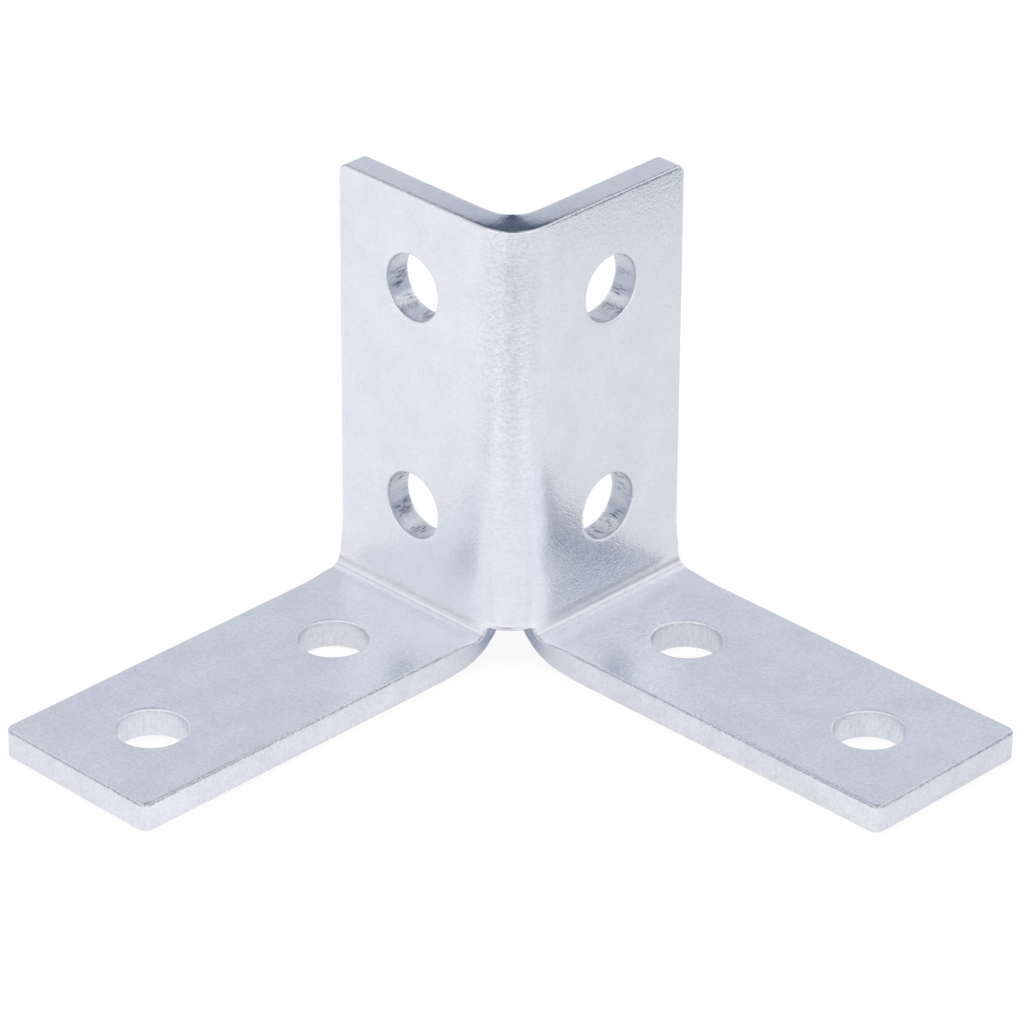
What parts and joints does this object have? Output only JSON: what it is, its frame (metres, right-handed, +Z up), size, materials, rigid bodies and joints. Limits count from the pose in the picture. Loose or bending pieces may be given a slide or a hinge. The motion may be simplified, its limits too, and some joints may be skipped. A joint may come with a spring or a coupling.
{
  "type": "double corner wing bracket",
  "caption": "Folded steel strut fitting: two upright panels hug the corner of a square post, and a flat bolt-down wing turns outwards from each foot.",
  "frame": {"origin": "where the planes of both panels' inner faces and of both wings' undersides meet: the foot of the post's corner", "axes": "+Z up along the ridge; +X along one wing and +Y along the other, both away from the post"},
  "size_m": [0.137, 0.137, 0.0953],
  "materials": {
    "zinc_plate": "bright zinc-plated steel, satin, with a fine mottled grain and dull punched edges"
  },
  "bodies": {
    "root": {"corner_wing_bracket": "zinc_plate"}
  },
  "joints": []
}
